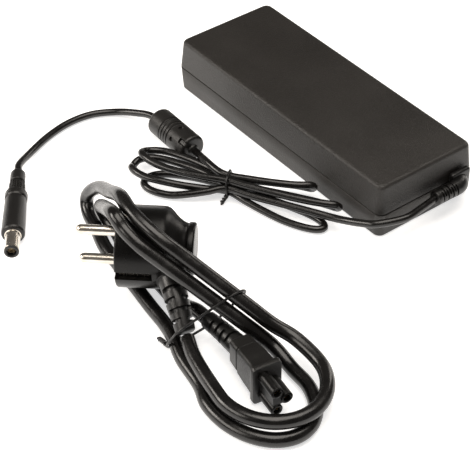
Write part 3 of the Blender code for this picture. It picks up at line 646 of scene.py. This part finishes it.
def dc_boot():
    radius = 4.0 * MM
    elbow = 5.0 * MM
    corner = Vector((BOOT_X - elbow, BOOT_Y - elbow, BOOT_Z))
    line = [Vector((LENGTH / 2 - 2 * MM, BOOT_Y, BOOT_Z))]
    line += [corner + Vector((math.cos(math.radians(a)), math.sin(math.radians(a)), 0)) * elbow
             for a in np.linspace(90, 0, 8)]
    line += [Vector((BOOT_X, 12 * MM, BOOT_Z)), Vector((BOOT_X, 6 * MM, BOOT_Z)), Vector((BOOT_X, 0, BOOT_Z))]
    points = dense_line([tuple(p) for p in line], 0.22 * MM)
    total = length_of(points)

    def radius_at(s, angle):
        left = total - s
        base = radius - 0.45 * MM * max(0.0, 1 - left / (13 * MM))
        if left < 2.2 * MM:
            return radius - 0.25 * MM - 0.5 * MM * max(0.0, 1 - left / (0.6 * MM)) ** 2
        return ribbed(left, angle, 3.0 * MM, 1.5 * MM, 7, 0.6 * MM, 0.9 * MM, base)

    tube = sweep("boot_tube", points, radius_at, 56)
    collar = softened(box_shape(
        "collar", (LENGTH / 2 + 0.2 * MM, BOOT_Y - 6.0 * MM, BOOT_Z - 5.7 * MM),
        (LENGTH / 2 + 3.4 * MM, BOOT_Y + 6.0 * MM, BOOT_Z + 5.7 * MM),
    ), 1.2 * MM, 4)
    finished(even_shading(tube, 40), "adapter", RELIEF, ["dc_boot"], smooth=False)
    finished(even_shading(collar, 40), "adapter", RELIEF, smooth=False)
    return tube, collar


def along(matrix_place, yaw):
    """A frame whose Z lies flat at this yaw, for turned pieces on their side."""
    on_its_side = Matrix.Rotation(math.pi / 2, 4, "Y")
    return Matrix.Translation(matrix_place) @ Matrix.Rotation(yaw, 4, "Z") @ on_its_side


FERRITE_CENTRE = Vector((-38.5, -63.4, 7.5)) * MM
FERRITE_YAW = math.radians(-1.5)
FERRITE_LENGTH, FERRITE_RADIUS = 31.0 * MM, 7.3 * MM


def ferrite():
    ahead = Vector((math.cos(FERRITE_YAW), math.sin(FERRITE_YAW), 0))
    steps = np.linspace(-0.5, 0.5, 190)
    line = [tuple(FERRITE_CENTRE + ahead * FERRITE_LENGTH * t) for t in steps]
    end_round = 1.9 * MM

    def radius_at(s, angle):
        near = min(s, FERRITE_LENGTH - s)
        radius = FERRITE_RADIUS
        if near < end_round:
            radius -= end_round * 0.9 * (1 - math.sqrt(max(0.0, 1 - (1 - near / end_round) ** 2)))
        for ring in (10.2, 12.4, 14.6, 16.8):
            away = abs(s - ring * MM)
            if away < 0.5 * MM:
                radius -= 0.55 * MM * (1 - (away / (0.5 * MM)) ** 2)
        wrapped = (angle + math.pi) % (2 * math.pi) - math.pi
        for turn in (-2.2, -1.1, 0.0, 1.1, 2.2):
            if abs(wrapped - turn) < 0.13 and abs(s - 20.6 * MM) < 1.0 * MM:
                radius -= 0.9 * MM
        if s > FERRITE_LENGTH - 5.0 * MM and abs(wrapped - 0.75) < 0.16:
            radius -= 1.0 * MM
        return radius

    skin = sweep("ferrite_skin", line, radius_at, 120)
    finished(even_shading(skin, 45), "adapter", FERRITE_SKIN, ["ferrite_sleeve"], smooth=False)
    end = FERRITE_CENTRE + ahead * (FERRITE_LENGTH / 2 - 0.2 * MM)
    lip = lathe("ferrite_lip", [(0, 1.4 * MM), (2.1 * MM, 1.4 * MM), (2.7 * MM, 1.0 * MM), (3.0 * MM, 0.0),
                                (3.0 * MM, -1 * MM), (0, -1 * MM)], along(end, FERRITE_YAW), 40)
    finished(even_shading(lip, 50), "adapter", FERRITE_SKIN, smooth=False)
    return skin, lip


DC_PLUG_BACK = Vector((-63.0, -142.8, 6.0)) * MM
DC_PLUG_YAW = math.radians(-35.0)
DC_PLUG_LENGTH = 48.0 * MM


def dc_plug():
    place = along(DC_PLUG_BACK, DC_PLUG_YAW)
    ahead = (place.to_3x3() @ Vector((0, 0, 1))).normalized()
    line = [tuple(DC_PLUG_BACK + ahead * t) for t in np.linspace(0, DC_PLUG_LENGTH, 240)]
    key = [(0.0, 2.4), (0.5, 3.1), (1.4, 3.7), (3.0, 3.8), (8.0, 3.8), (8.2, 3.5), (8.6, 3.5), (8.8, 3.85),
           (17.0, 4.45), (17.3, 4.3), (17.5, 5.3), (17.9, 5.6), (21.2, 5.6), (21.7, 5.35), (22.0, 5.1),
           (22.5, 5.1), (23.0, 5.35), (35.0, 5.6), (46.8, 5.75), (47.6, 5.4), (48.0, 4.9)]
    place_at, size_at = zip(*key)

    def radius_at(s, angle):
        radius = float(np.interp(s / MM, place_at, size_at)) * MM
        if 9.0 * MM < s < 17.0 * MM:
            cell = (s / MM - 9.0) % 1.6
            spoke = (angle * 9 / math.pi) % 1.0
            if cell < 0.5 or spoke < 0.22:
                radius -= 0.4 * MM
        return radius

    housing = sweep("plug_housing", line, radius_at, 108)
    finished(even_shading(housing, 40), "adapter", DC_PLUG, ["dc_plug_housing"], smooth=False)
    start = along(DC_PLUG_BACK + ahead * (DC_PLUG_LENGTH + 0.1 * MM), DC_PLUG_YAW)
    outer, length, inner = 3.7 * MM, 12.5 * MM, 2.9 * MM
    barrel = lathe("plug_barrel", [
        (0, 1.0 * MM), (inner, 1.0 * MM), (inner, length - 1.2 * MM), (outer - 0.15 * MM, length - 1.2 * MM),
        (outer, length - 1.35 * MM), (outer, 0.4 * MM), (outer + 0.35 * MM, 0.3 * MM),
        (outer + 0.35 * MM, -0.3 * MM), (0, -0.3 * MM),
    ], start, 72)
    finished(even_shading(barrel, 30), "adapter", NICKEL, ["dc_plug_barrel"], smooth=False)
    tip = lathe("plug_tip_ring", [
        (inner - 0.5 * MM, length - 2.4 * MM), (inner - 0.5 * MM, length - 0.3 * MM),
        (inner - 0.2 * MM, length), (outer - 0.5 * MM, length),
        (outer - 0.1 * MM, length - 0.4 * MM), (outer - 0.1 * MM, length - 1.1 * MM),
        (inner - 0.1 * MM, length - 1.1 * MM), (inner - 0.1 * MM, length - 2.4 * MM),
        (inner - 0.5 * MM, length - 2.4 * MM),
    ], start, 64)
    finished(even_shading(tip, 30), "adapter", SOCKET, ["dc_plug_tip_ring"], smooth=False)
    pin = lathe("plug_centre_pin", [
        (0, 0.9 * MM), (0.5 * MM, 0.9 * MM), (0.5 * MM, 9.4 * MM), (0.25 * MM, 9.9 * MM), (0, 10.0 * MM),
    ], start, 24)
    finished(even_shading(pin, 30), "adapter", BRASS, ["dc_plug_centre_pin"], smooth=False)
    return [housing, barrel, tip, pin]


def twisted_tie(name, ring, start, heading, droop, tail, body, replaced):
    """A tie wire: a twisted pair lying off the bundle, whose two ends run on into one loop round it."""
    wire = 0.6 * MM
    pitch = 3.4 * MM
    start, heading = np.array(start) * MM, np.array(heading, float)
    heading /= np.linalg.norm(heading)
    across = np.cross(heading, (0, 0, 1.0))
    across /= np.linalg.norm(across)
    over = np.cross(across, heading)
    span = np.linspace(tail * MM, 0.0, int(tail * 4))

    def strand(phase):
        turn = span / pitch * 2 * math.pi + phase
        sag = np.outer((span / (tail * MM)) ** 2 * droop * MM, (0, 0, -1.0))
        return (start + np.outer(span, heading) + sag
                + np.outer(np.cos(turn) * wire * 1.05, across) + np.outer(np.sin(turn) * wire * 1.05, over))

    nearest = min(range(len(ring)), key=lambda index: np.linalg.norm(np.array(ring[index]) - start))
    ring = [np.array(point) / MM for point in [*ring[nearest:], *ring[:nearest], ring[nearest]]]
    loop = smooth_route(ring, 0.5 * MM)
    line = np.vstack([strand(0.0), loop, strand(math.pi)[::-1]])
    line[:, 2] = np.maximum(line[:, 2], wire * 1.05)
    return finished(cord_curve(name, line, wire, WIRE, 3), body, None, replaced)


def turn_of(a, b, c):
    """Above zero where the way from a through b to c turns left."""
    return (b[0] - a[0]) * (c[1] - a[1]) - (b[1] - a[1]) * (c[0] - a[0])


def hull(flat):
    """The outermost of some flat points, in order round them."""
    flat = sorted(set(flat))
    ring = []
    for points in (flat, flat[::-1]):
        side = []
        for point in points:
            while len(side) > 1 and turn_of(side[-2], side[-1], point) <= 0:
                side.pop()
            side.append(point)
        ring += side[:-1]
    return ring


def wrapped(strands, centre, normal, reach, count):
    """The tight loop a tie makes, across normal, round strands, (points, radius) pairs, near centre."""
    centre, normal = np.array(centre), np.array(normal) / np.linalg.norm(normal)
    across = np.cross(normal, (0, 0, 1))
    across /= np.linalg.norm(across)
    up = np.cross(across, normal)
    flat = []
    for points, radius in strands:
        points = np.array(points)
        for point, heading in zip(points, np.gradient(points, axis=0)):
            if np.linalg.norm(point - centre) > reach:
                continue
            side = np.cross(heading, (0, 0, 1))
            side /= np.linalg.norm(side)
            top = np.cross(side, heading / np.linalg.norm(heading))
            for angle in np.linspace(0, 2 * math.pi, 24, endpoint=False):
                skin = point + radius * (side * math.cos(angle) + top * math.sin(angle)) - centre
                if abs(skin @ normal) < TIE_WIRE:
                    flat.append((float(skin @ across), float(skin @ up)))
    loop = hull(flat)
    loop = np.array([*loop, loop[0]])
    travelled = np.r_[0, np.cumsum(np.linalg.norm(np.diff(loop, axis=0), axis=1))]
    goals = np.linspace(0, travelled[-1], count + 1)[:-1]
    even = np.stack([np.interp(goals, travelled, loop[:, axis]) for axis in range(2)], axis=1)
    return [Vector(centre + a * across + b * up) for a, b in even]


RING_POINTS = 28
TIE_REACH = 25 * MM
CLEAR = TIE_WIRE / 2 + 0.25 * MM


def dc_tie_ring():
    centre = [value * MM for value in WAIST]
    ahead = (math.cos(WAIST_YAW), math.sin(WAIST_YAW), 0.0)
    return wrapped([(dc_points, DC_CORD / 2 + CLEAR)], centre, ahead, 12 * MM, RING_POINTS)


MAINS_TIE_CENTRE = (87.5 * MM, -140 * MM, 15.5 * MM)
MAINS_TIE_AHEAD = (0.9, -0.05, -0.42)
RELIEF_AT_TIE, CONNECTOR_RELIEF_AT_TIE = 4.9 * MM, 4.5 * MM


def mains_tie_ring():
    relief = [point for point in smooth_route(PLUG_RELIEF, 0.5 * MM) if point[0] > 80 * MM]
    connector_end = smooth_route([(84.2, -135, 10.8), (104, -135, 10.8)], 0.5 * MM)
    strands = [
        (mains_points, MAINS_CORD / 2 + CLEAR), (relief, RELIEF_AT_TIE + CLEAR),
        (connector_end, CONNECTOR_RELIEF_AT_TIE + CLEAR),
    ]
    return wrapped(strands, MAINS_TIE_CENTRE, MAINS_TIE_AHEAD, TIE_REACH, RING_POINTS)


boot_pieces = dc_boot()
ferrite_pieces = ferrite()
dc_plug_pieces = dc_plug()
dc_tie = twisted_tie(
    "dc_tie_wire", dc_tie_ring(), (13.2, -70.6, 3.4), (0.35, -0.9, -0.1), 0.8, 4.6, "adapter",
    ["dc_cord_tie"],
)
mains_tie = twisted_tie(
    "mains_tie_wire", mains_tie_ring(), (79.6, -155.2, 4.2), (-0.75, 0.1, -0.1), 1.4, 6.5, "mains_lead",
    ["mains_cord_tie"],
)


# ---------------------------------------------------------------------------- mains plug
PLUG_FACE = Vector((33.6, -147.1, 26.4)) * MM
PLUG_YAW = math.radians(227.8)
PLUG_ROLL = math.radians(-6.0)
PLUG_RADIUS = 19.0 * MM
PIN_RADIUS, PIN_LENGTH, PIN_REACH = 2.4 * MM, 19.0 * MM, 9.5 * MM


def plug_frame():
    pins_out = Vector((math.cos(PLUG_YAW), math.sin(PLUG_YAW), 0))
    up = Matrix.Rotation(PLUG_ROLL, 3, pins_out) @ Vector((0, 0, 1))
    side = up.cross(pins_out)
    return Matrix.Translation(PLUG_FACE) @ Matrix((side, up, pins_out)).transposed().to_4x4()


def mains_plug():
    place = plug_frame()
    half = PLUG_RADIUS
    profile = [(0, -35.0 * MM)]
    profile += round_steps((11.2 * MM, -34.0 * MM), 1.0 * MM, -90, 0, 5)
    profile += round_steps((11.2 * MM, -32.4 * MM), 1.0 * MM, 0, 75, 4)
    waist = [
        (11.75, -31.2), (12.0, -30.3), (12.7, -28.9), (13.9, -27.3), (15.4, -25.7), (17.0, -24.3),
        (18.3, -22.8), (18.85, -21.4), (19.0, -20.0), (19.0, -10.0),
    ]
    profile += [(r * MM, z * MM) for r, z in waist]
    profile += round_steps((half - 0.9 * MM, -0.9 * MM), 0.9 * MM, 0, 90, 5)
    profile += [(half - 2.6 * MM, 0), (half - 2.7 * MM, -0.35 * MM), (half - 3.1 * MM, -0.35 * MM),
                (half - 3.2 * MM, 0), (0, 0)]
    body = lathe("plug_body", profile, place, 128)
    neck_line = [place @ Vector((x * MM, 0, -25.6 * MM)) for x in (0, 6, 12, 18, 21.5)]
    neck = sweep("neck", dense_line([tuple(p) for p in neck_line], 0.8 * MM),
                 lambda s, angle: (7.4 - 0.055 * s / MM) * MM, 56)
    body = joined(body, neck)
    cutters = []
    for sign in (-1, 1):
        slot = box_shape("slot", (-3.2 * MM, -2.3 * MM, -17 * MM), (3.2 * MM, 2.3 * MM, 3 * MM))
        cutters.append(moved(slot, place @ Matrix.Translation((sign * (half - 0.9 * MM), 0, 0))))
    hole = lathe("hole", [(0, -15 * MM), (2.9 * MM, -15 * MM), (2.9 * MM, 4 * MM), (0, 4 * MM)],
                 place @ Matrix.Translation((10 * MM, 0, 0)), 40)
    body = cut(body, *cutters, hole)
    finished(even_shading(softened(body, 0.35 * MM, 2, 50), 45), "mains_lead", PLUG,
             ["mains_plug_body"], smooth=False)
    pieces = [body]
    for name, sign in (("near", 1), ("far", -1)):
        clip = box_shape("clip_" + name, (-0.4 * MM, -1.9 * MM, -16.2 * MM), (0.4 * MM, 1.9 * MM, -1.6 * MM))
        moved(softened(clip, 0.25 * MM, 2), place @ Matrix.Translation((sign * (half - 3.0 * MM), 0, 0)))
        pieces.append(finished(even_shading(clip), "mains_lead", NICKEL, ["earth_clip_" + name],
                               smooth=False))
    sleeve = lathe("earth_sleeve", [(2.1 * MM, -14 * MM), (2.1 * MM, -1.0 * MM), (2.35 * MM, -0.7 * MM),
                                    (2.6 * MM, -1.0 * MM), (2.6 * MM, -14 * MM), (2.1 * MM, -14 * MM)],
                   place @ Matrix.Translation((10 * MM, 0, 0)), 40)
    pieces.append(finished(even_shading(sleeve), "mains_lead", NICKEL, ["earth_socket_sleeve"],
                           smooth=False))
    for name, sign in (("upper", 1), ("lower", -1)):
        r, long = PIN_RADIUS, PIN_LENGTH
        shank = [
            (0, 0.0), (r + 0.5 * MM, 0.0), (r + 0.5 * MM, 0.25 * MM), (r, 0.3 * MM), (r, long - 2.2 * MM),
            (r - 0.15 * MM, long - 1.4 * MM), (r - 0.6 * MM, long - 0.6 * MM),
            (r - 1.1 * MM, long - 0.15 * MM), (r - 1.6 * MM, long), (0, long),
        ]
        pin = lathe("pin_" + name, shank, place @ Matrix.Translation((0, sign * PIN_REACH, 0)), 48)
        stands_for = ["mains_plug_pin_" + name]
        even_shading(pin, 35)
        pieces.append(finished(pin, "mains_lead", NICKEL, stands_for, smooth=False))
    return pieces


def plug_relief():
    route = [(58.5, -138.4, 25.6), (67.0, -141.6, 23.6), (74.0, -144.4, 20.6), (80.6, -146.6, 16.2),
             (86.2, -148.6, 12.2)]
    points = smooth_route(route, 0.3 * MM)
    total = length_of(points)

    def radius_at(s, angle):
        left = total - s
        base = (4.5 + 1.5 * min(1.0, left / (24 * MM))) * MM
        if left < 0.9 * MM:
            base -= 0.7 * MM * (1 - left / (0.9 * MM)) ** 2
        return ribbed(left, angle, 5.4 * MM, 4.7 * MM, 4, 1.7 * MM, 1.5 * MM, base)

    tube = sweep("plug_relief", points, radius_at, 72)
    stands_for = ["mains_plug_relief"]
    return finished(even_shading(tube, 40), "mains_lead", RELIEF, stands_for, smooth=False)


# ---------------------------------------------------------------------------- cloverleaf connector
CONNECTOR_FACE = Vector((131.5, -138.6, 10.9)) * MM
CONNECTOR_YAW = math.radians(-9.0)
POLE, EARTH_POLE = 5.1 * MM, 4.9 * MM
NOSE = 12.0 * MM
LOW = -2.0 * MM


def connector_nose():
    """Three rounded lobes, joined by webs, each with its contact hole."""
    radius, start = 2.9 * MM, -1.5 * MM
    centres = [(LOW, -POLE), (LOW, POLE), (LOW + EARTH_POLE, 0)]
    lies = [Matrix.Translation((0, y, z)) @ Matrix.Rotation(math.pi / 2, 4, "Y") for y, z in centres]
    rounded = round_steps((0, 0), 0.45 * MM, 0, 90, 5)
    rim = [(radius - 0.45 * MM + x, NOSE - 0.45 * MM + y) for x, y in rounded]
    lobes = [lathe("nose", [(0, start), (radius, start), *rim, (0, NOSE)], lie, 48) for lie in lies]
    face = NOSE - 0.5 * MM
    bridge = box_shape("bridge", (start, LOW - 1.8 * MM, -POLE), (face, LOW + 1.8 * MM, POLE))
    neck = box_shape("neck", (start, LOW, -2.2 * MM), (face, LOW + EARTH_POLE, 2.2 * MM))
    nose = joined(lobes[0], lobes[1], lobes[2], bridge, neck)
    holes = [
        lathe("hole", [(0, 1.5 * MM), (1.55 * MM, 1.5 * MM), (1.55 * MM, 11.6 * MM), (1.95 * MM, 12.0 * MM),
                       (1.95 * MM, 13 * MM), (0, 13 * MM)], lie, 40)
        for lie in lies
    ]
    return cut(nose, *holes)


def connector_mesh(name, levels):
    """A skin through (y, z) outlines at x levels, in the connector's own frame."""
    obj = stack(name, [(outline, x) for outline, x in levels])
    swap = Matrix(((0, 0, 1, 0), (1, 0, 0, 0), (0, 1, 0, 0), (0, 0, 0, 1)))
    return moved(obj, swap)


def connector():
    place = Matrix.Translation(CONNECTOR_FACE) @ Matrix.Rotation(CONNECTOR_YAW, 4, "Z")
    nose = connector_nose()
    moved(nose, place)
    finished(even_shading(nose, 35), "mains_lead", PLUG, ["connector_body"], smooth=False)

    def plate(half_y, half_z, corner, x):
        return rounded_outline(half_y * MM, half_z * MM, corner * MM, 7), x * MM

    flange = connector_mesh("flange", [
        plate(6.5, 9.9, 1.6, -3.2), plate(7.0, 10.4, 2.0, -2.8), plate(7.1, 10.5, 2.1, -2.2),
        plate(7.1, 10.5, 2.1, -0.7), plate(7.0, 10.4, 2.0, -0.2), plate(6.6, 10.0, 1.6, 0.0),
    ])
    moved(flange, place)
    finished(even_shading(flange, 50), "mains_lead", CONNECTOR, smooth=False)
    body = connector_mesh("grip", [
        plate(4.6, 6.2, 1.6, -25.0), plate(5.2, 6.8, 1.9, -24.4), plate(5.35, 7.0, 2.0, -22.0),
        plate(5.4, 7.2, 2.0, -18.6), plate(5.0, 7.0, 1.9, -18.3), plate(5.0, 7.1, 1.9, -17.4),
        plate(5.6, 7.8, 2.0, -17.0), plate(5.75, 8.6, 2.0, -11.0), plate(5.8, 8.75, 2.0, -8.0),
        plate(6.0, 9.0, 2.0, -4.0), plate(6.2, 9.3, 2.0, -3.0), plate(6.2, 9.3, 2.0, -2.0),
    ])
    moved(body, place)
    finished(even_shading(body, 35), "mains_lead", CONNECTOR, smooth=False)
    body.data.materials.append(CONNECTOR_ROUGH)
    side = (place.to_3x3() @ Vector((0, 1, 0))).normalized()
    for face in body.data.polygons:
        centre = place.inverted() @ face.center
        if abs(face.normal.dot(side)) > 0.9 and centre.x > -17.2 * MM:
            face.material_index = 1
    return [nose, flange, body]


def connector_relief():
    place = Matrix.Translation(CONNECTOR_FACE) @ Matrix.Rotation(CONNECTOR_YAW, 4, "Z")
    back = place @ Vector((-24.6 * MM, 0, 0))
    end = Vector((84.0, -135.0, 10.8)) * MM
    bowed = [end.lerp(back, t) + Vector((0, aside * MM, 0)) for t, aside in ((0.4, 0.3), (0.75, 0.2))]
    line = [end, *bowed, back]
    points = dense_line([tuple(p) for p in line], 0.3 * MM)

    def radius_at(s, angle):
        base = (4.15 + 0.85 * min(1.0, s / (20 * MM))) * MM
        if s < 0.8 * MM:
            base -= 0.5 * MM * (1 - s / (0.8 * MM)) ** 2
        return ribbed(s, angle, 6.4 * MM, 3.9 * MM, 4, 1.5 * MM, 1.1 * MM, base)

    tube = sweep("connector_relief_skin", points, radius_at, 64)
    stands_for = ["connector_relief"]
    return finished(even_shading(tube, 40), "mains_lead", RELIEF, stands_for, smooth=False)


plug_pieces = mains_plug()
plug_relief_piece = plug_relief()
connector_pieces = connector()
connector_relief_piece = connector_relief()


# ---------------------------------------------------------------------------- materials of the CAD pieces
CAD_LOOKS = {
    LABEL: ["rating_label"],
    SOCKET: ["inlet_housing"],
    NICKEL: ["inlet_pin_line", "inlet_pin_neutral", "inlet_pin_earth"],
    BRASS: ["connector_contact_line", "connector_contact_neutral", "connector_contact_earth"],
    BOARD: ["circuit_board"],
    FILM: ["insulation_sheet"],
    ALUMINIUM: ["heat_spreader", "primary_heatsink", "secondary_heatsink"],
    CERAMIC: ["fuse", "thermistor", "y_capacitor"],
    TAPE: ["x_capacitor", "boost_choke", "transformer_winding"],
    COPPER: ["common_mode_choke"],
    PACKAGE: ["bridge_rectifier", "primary_switch", "optocoupler", "output_rectifier"],
    CAN: ["bulk_capacitor", "output_capacitor_1", "output_capacitor_2"],
    CORE: ["transformer_core", "ferrite_core"],
}
for look, names in CAD_LOOKS.items():
    for node_name in names:
        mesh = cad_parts[node_name].data
        mesh.materials.clear()
        mesh.materials.append(look)


# ---------------------------------------------------------------------------- floor and light
def floor():
    size = 3.0
    mesh = bpy.data.meshes.new("floor")
    corners = [(-size, -size, 0), (size, -size, 0), (size, size, 0), (-size, size, 0)]
    mesh.from_pydata(corners, [], [(0, 1, 2, 3)])
    plane = link(bpy.data.objects.new("floor", mesh))
    plane.location.z = -0.0002
    n = Nodes("floor_white")
    tone = n.mix(n.noise(3.0), (0.90, 0.90, 0.90), (0.93, 0.93, 0.93))
    mesh.materials.append(n.finish(tone, 0.9, Specular_IOR_Level=0.1, Emission_Color=(1.0, 1.0, 1.0, 1.0),
                                   Emission_Strength=0.62))


def area_light(name, place, target, size, power, colour=(1, 1, 1)):
    data = bpy.data.lights.new(name, "AREA")
    data.shape = "RECTANGLE"
    data.size, data.size_y = size
    data.energy = power
    data.color = colour
    light = link(bpy.data.objects.new(name, data))
    light.location = place
    heading = Vector(target) - Vector(place)
    light.rotation_euler = heading.to_track_quat("-Z", "Y").to_euler()


# Each soft light: its place, its size in metres and its power in watts.
LIGHTS = [
    ("overhead", (0.15, -0.05, 1.35), (1.3, 0.9), 15.0),
    ("front", (-0.35, -1.25, 0.7), (1.0, 0.6), 8.5),
    ("edge", (-0.85, -1.0, 0.75), (0.5, 0.5), 6.0),
    ("back", (-0.2, 1.1, 0.5), (0.25, 0.8), 2.5),
]


def studio():
    world = bpy.data.worlds.new("studio")
    world.use_nodes = True
    world.node_tree.nodes["Background"].inputs["Color"].default_value = (1.0, 0.94, 0.88, 1.0)
    world.node_tree.nodes["Background"].inputs["Strength"].default_value = 0.12
    bpy.context.scene.world = world
    middle = (0.03, -0.07, 0.01)
    warm = (1.0, 0.94, 0.87)
    for name, place, size, power in LIGHTS:
        area_light(name, place, middle, size, power, warm)
    bpy.context.scene.view_settings.view_transform = "Standard"


floor()
studio()
